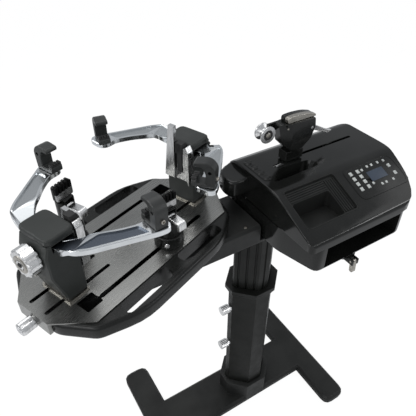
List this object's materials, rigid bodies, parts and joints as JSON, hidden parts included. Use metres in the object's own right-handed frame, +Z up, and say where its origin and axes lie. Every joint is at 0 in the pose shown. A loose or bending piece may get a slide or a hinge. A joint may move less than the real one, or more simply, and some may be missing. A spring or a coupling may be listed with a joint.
{
  "type": "racket stringing machine",
  "caption": "Floor-standing stringing machine: a turning deck with clawed towers and string clamps, beside a powered tension unit on a height-adjustable column.",
  "frame": {"origin": "on the floor, on the axis of the column", "axes": "+Z up, +X from the turntable towards the tension unit, +Y away from the user"},
  "size_m": [1.0209, 0.5242, 1.1845],
  "materials": {
    "painted": "satin black",
    "column": "satin black",
    "gloss": "gloss black",
    "moulded": "moulded black",
    "tray": "moulded black",
    "cover": "satin dark grey",
    "charcoal": "satin charcoal",
    "brushed": "brushed",
    "polished": "polished",
    "silver": "bright",
    "steel": "machined",
    "key": "pale grey",
    "display": "blue-grey"
  },
  "bodies": {
    "stand": {"base_casting": "painted", "column_sleeve": "column"},
    "height_lock": {"height_lock_knob": "silver"},
    "travel_stop": {"travel_stop_knob": "silver"},
    "head": {"column_mast": "painted", "head_casting": "painted", "pivot_bearing": "steel", "tension_lower_case": "gloss", "tension_upper_case": "gloss", "tool_tray": "tray", "keypad_panel": "gloss", "key_mat": "key", "display_window": "display", "button_strip": "gloss", "guide_frame": "steel", "drive_motor": "steel", "under_boss": "moulded"},
    "turntable": {"pivot_spindle": "steel", "deck_frame": "moulded", "deck_plate": "brushed"},
    "gripper": {"gripper_carriage": "gloss", "gripper_body": "gloss"},
    "gripper_moving_jaw": {"gripper_jaw": "steel"},
    "line_pulley": {"gripper_pulley": "silver"},
    "wing": {"wing_lever": "silver"},
    "tension_screw": {"drive_screw": "steel"},
    "carriage_release": {"release_lever": "silver"},
    "under_catch": {"under_lever": "moulded"},
    "tip_screw": {"tip_lead_screw": "silver"},
    "tip_tower": {"tip_tower_core": "steel", "tip_tower_cover": "cover", "tip_head_rest": "silver", "tip_head_pad": "moulded"},
    "tip_knob": {"tip_tower_knob": "silver"},
    "tip_near_arm": {"tip_near_arm": "polished"},
    "tip_near_claw": {"tip_near_claw": "charcoal", "tip_near_claw_pad": "moulded"},
    "tip_far_arm": {"tip_far_arm": "polished"},
    "tip_far_claw": {"tip_far_claw": "charcoal", "tip_far_claw_pad": "moulded"},
    "throat_screw": {"throat_lead_screw": "silver"},
    "throat_tower": {"throat_tower_core": "steel", "throat_tower_cover": "cover", "throat_head_rest": "silver", "throat_head_pad": "moulded"},
    "throat_knob": {"throat_tower_knob": "charcoal"},
    "throat_near_arm": {"throat_near_arm": "polished"},
    "throat_near_claw": {"throat_near_claw": "charcoal", "throat_near_claw_pad": "moulded"},
    "throat_far_arm": {"throat_far_arm": "polished"},
    "throat_far_claw": {"throat_far_claw": "charcoal", "throat_far_claw_pad": "moulded"},
    "near_clamp_base": {"near_clamp_base": "moulded"},
    "near_clamp_post": {"near_clamp_post": "moulded"},
    "near_clamp_jaw": {"near_clamp_jaw": "steel"},
    "near_clamp_lever": {"near_clamp_lever": "silver"},
    "far_clamp_base": {"far_clamp_base": "moulded"},
    "far_clamp_post": {"far_clamp_post": "moulded"},
    "far_clamp_jaw": {"far_clamp_jaw": "steel"},
    "far_clamp_lever": {"far_clamp_lever": "silver"}
  },
  "joints": [
    {"name": "column_height", "type": "slide", "parent": "stand", "child": "head", "axis": [0, 0, 1], "range_m": [-0.18, 0.12]},
    {"name": "height_lock_turn", "type": "hinge", "parent": "stand", "child": "height_lock", "pos_m": [-0.095, 0, 0.505], "axis": [1, 0, 0], "range_deg": [-360, 45]},
    {"name": "travel_stop_turn", "type": "hinge", "parent": "stand", "child": "travel_stop", "pos_m": [-0.095, 0, 0.325], "axis": [1, 0, 0], "range_deg": [-360, 45]},
    {"name": "turntable_turn", "type": "hinge", "parent": "head", "child": "turntable", "pos_m": [-0.382, -0.015, 0.91], "axis": [0, 0, 1], "continuous": true},
    {"name": "tension_pull", "type": "slide", "parent": "head", "child": "gripper", "axis": [1, 0, 0], "range_m": [-0.004, 0.165]},
    {"name": "tension_screw_turn", "type": "hinge", "parent": "head", "child": "tension_screw", "pos_m": [0.1, -0.015, 0.968], "axis": [1, 0, 0], "range_deg": [-80, 2980]},
    {"name": "wing_turn", "type": "hinge", "parent": "gripper", "child": "wing", "pos_m": [0.126, -0.015, 1.112], "axis": [0, -1, 0], "range_deg": [0, 30]},
    {"name": "gripper_jaw_open", "type": "slide", "parent": "gripper", "child": "gripper_moving_jaw", "axis": [0, -1, 0], "range_m": [0, 0.00188]},
    {"name": "line_pulley_spin", "type": "hinge", "parent": "gripper", "child": "line_pulley", "pos_m": [-0.01, -0.015, 1.125], "axis": [0, 1, 0], "continuous": true},
    {"name": "carriage_release_tilt", "type": "hinge", "parent": "head", "child": "carriage_release", "pos_m": [0.035, -0.0305, 1], "axis": [0, 1, 0], "range_deg": [-8, 8]},
    {"name": "under_catch_swing", "type": "hinge", "parent": "head", "child": "under_catch", "pos_m": [0.108, -0.265, 0.8437], "axis": [-1, 0, 0], "range_deg": [-15, 60]},
    {"name": "tip_tower_slide", "type": "slide", "parent": "turntable", "child": "tip_tower", "axis": [-0.9291, -0.3697, 0], "range_m": [-0.03, 0.025]},
    {"name": "tip_screw_turn", "type": "hinge", "parent": "turntable", "child": "tip_screw", "pos_m": [-0.65145, -0.12223, 0.9385], "axis": [-0.9291, -0.3697, 0], "range_deg": [-1090, 910]},
    {"name": "tip_knob_turn", "type": "hinge", "parent": "tip_tower", "child": "tip_knob", "pos_m": [-0.60964, -0.10559, 1.082], "axis": [-0.9291, -0.3697, 0], "range_deg": [-99, 75]},
    {"name": "tip_near_arm_slide", "type": "slide", "parent": "tip_tower", "child": "tip_near_arm", "axis": [-0.3697, 0.9291, 0], "range_m": [-0.012, 0.009]},
    {"name": "tip_near_claw_swivel", "type": "hinge", "parent": "tip_near_arm", "child": "tip_near_claw", "pos_m": [-0.38526, -0.17989, 1.12], "axis": [0, 0, 1], "range_deg": [-25, 25]},
    {"name": "tip_far_arm_slide", "type": "slide", "parent": "tip_tower", "child": "tip_far_arm", "axis": [0.3697, -0.9291, 0], "range_m": [-0.0121, 0.0091]},
    {"name": "tip_far_claw_swivel", "type": "hinge", "parent": "tip_far_arm", "child": "tip_far_claw", "pos_m": [-0.49767, 0.10256, 1.12], "axis": [0, 0, 1], "range_deg": [-25, 25]},
    {"name": "throat_tower_slide", "type": "slide", "parent": "turntable", "child": "throat_tower", "axis": [0.9291, 0.3697, 0], "range_m": [-0.05, 0.012]},
    {"name": "throat_screw_turn", "type": "hinge", "parent": "turntable", "child": "throat_screw", "pos_m": [-0.11255, 0.09223, 0.9385], "axis": [0.9291, 0.3697, 0], "range_deg": [-1810, 442]},
    {"name": "throat_knob_turn", "type": "hinge", "parent": "throat_tower", "child": "throat_knob", "pos_m": [-0.13206, 0.08446, 1.082], "axis": [0.9291, 0.3697, 0], "range_deg": [-99, 75]},
    {"name": "throat_near_arm_slide", "type": "slide", "parent": "throat_tower", "child": "throat_near_arm", "axis": [-0.3697, 0.9291, 0], "range_m": [-0.012, 0.009]},
    {"name": "throat_near_claw_swivel", "type": "hinge", "parent": "throat_near_arm", "child": "throat_near_claw", "pos_m": [-0.24404, -0.12369, 1.12], "axis": [0, 0, 1], "range_deg": [-25, 25]},
    {"name": "throat_far_arm_slide", "type": "slide", "parent": "throat_tower", "child": "throat_far_arm", "axis": [0.3697, -0.9291, 0], "range_m": [-0.0121, 0.0091]},
    {"name": "throat_far_claw_swivel", "type": "hinge", "parent": "throat_far_arm", "child": "throat_far_claw", "pos_m": [-0.35644, 0.15877, 1.12], "axis": [0, 0, 1], "range_deg": [-25, 25]},
    {"name": "near_clamp_slide", "type": "slide", "parent": "turntable", "child": "near_clamp_base", "axis": [0.9291, 0.3697, 0], "range_m": [-0.06, 0.01]},
    {"name": "near_clamp_swivel", "type": "hinge", "parent": "near_clamp_base", "child": "near_clamp_post", "pos_m": [-0.30893, -0.06879, 1], "axis": [0, 0, 1], "continuous": true},
    {"name": "near_clamp_lever_lift", "type": "hinge", "parent": "near_clamp_post", "child": "near_clamp_lever", "pos_m": [-0.30686, -0.07878, 1.038], "axis": [-0.9792, -0.2028, 0], "range_deg": [0, 45]},
    {"name": "near_clamp_jaw_open", "type": "slide", "parent": "near_clamp_post", "child": "near_clamp_jaw", "axis": [0.2028, -0.9792, 0], "range_m": [0, 0.003]},
    {"name": "far_clamp_slide", "type": "slide", "parent": "turntable", "child": "far_clamp_base", "axis": [0.9291, 0.3697, 0], "range_m": [0, 0.07]},
    {"name": "far_clamp_swivel", "type": "hinge", "parent": "far_clamp_base", "child": "far_clamp_post", "pos_m": [-0.49874, 0.02142, 1], "axis": [0, 0, 1], "continuous": true},
    {"name": "far_clamp_lever_lift", "type": "hinge", "parent": "far_clamp_post", "child": "far_clamp_lever", "pos_m": [-0.49384, 0.01247, 1.083], "axis": [-0.8771, -0.4802, 0], "range_deg": [0, 45]},
    {"name": "far_clamp_jaw_open", "type": "slide", "parent": "far_clamp_post", "child": "far_clamp_jaw", "axis": [0.4802, -0.8771, 0], "range_m": [0, 0.003]}
  ],
  "couplings": [
    {"joint": "tension_screw_turn", "follows": "tension_pull", "rad_per_m": 314.16},
    {"joint": "wing_turn", "follows": "gripper_jaw_open", "rad_per_m": 277},
    {"joint": "tip_screw_turn", "follows": "tip_tower_slide", "rad_per_m": 628.32},
    {"joint": "tip_knob_turn", "follows": "tip_near_arm_slide", "rad_per_m": 142.86},
    {"joint": "tip_far_arm_slide", "follows": "tip_near_arm_slide", "ratio": 1},
    {"joint": "throat_screw_turn", "follows": "throat_tower_slide", "rad_per_m": 628.32},
    {"joint": "throat_knob_turn", "follows": "throat_near_arm_slide", "rad_per_m": 142.86},
    {"joint": "throat_far_arm_slide", "follows": "throat_near_arm_slide", "ratio": 1},
    {"joint": "near_clamp_jaw_open", "follows": "near_clamp_lever_lift", "m_per_rad": 0.0038},
    {"joint": "far_clamp_jaw_open", "follows": "far_clamp_lever_lift", "m_per_rad": 0.0038}
  ]
}
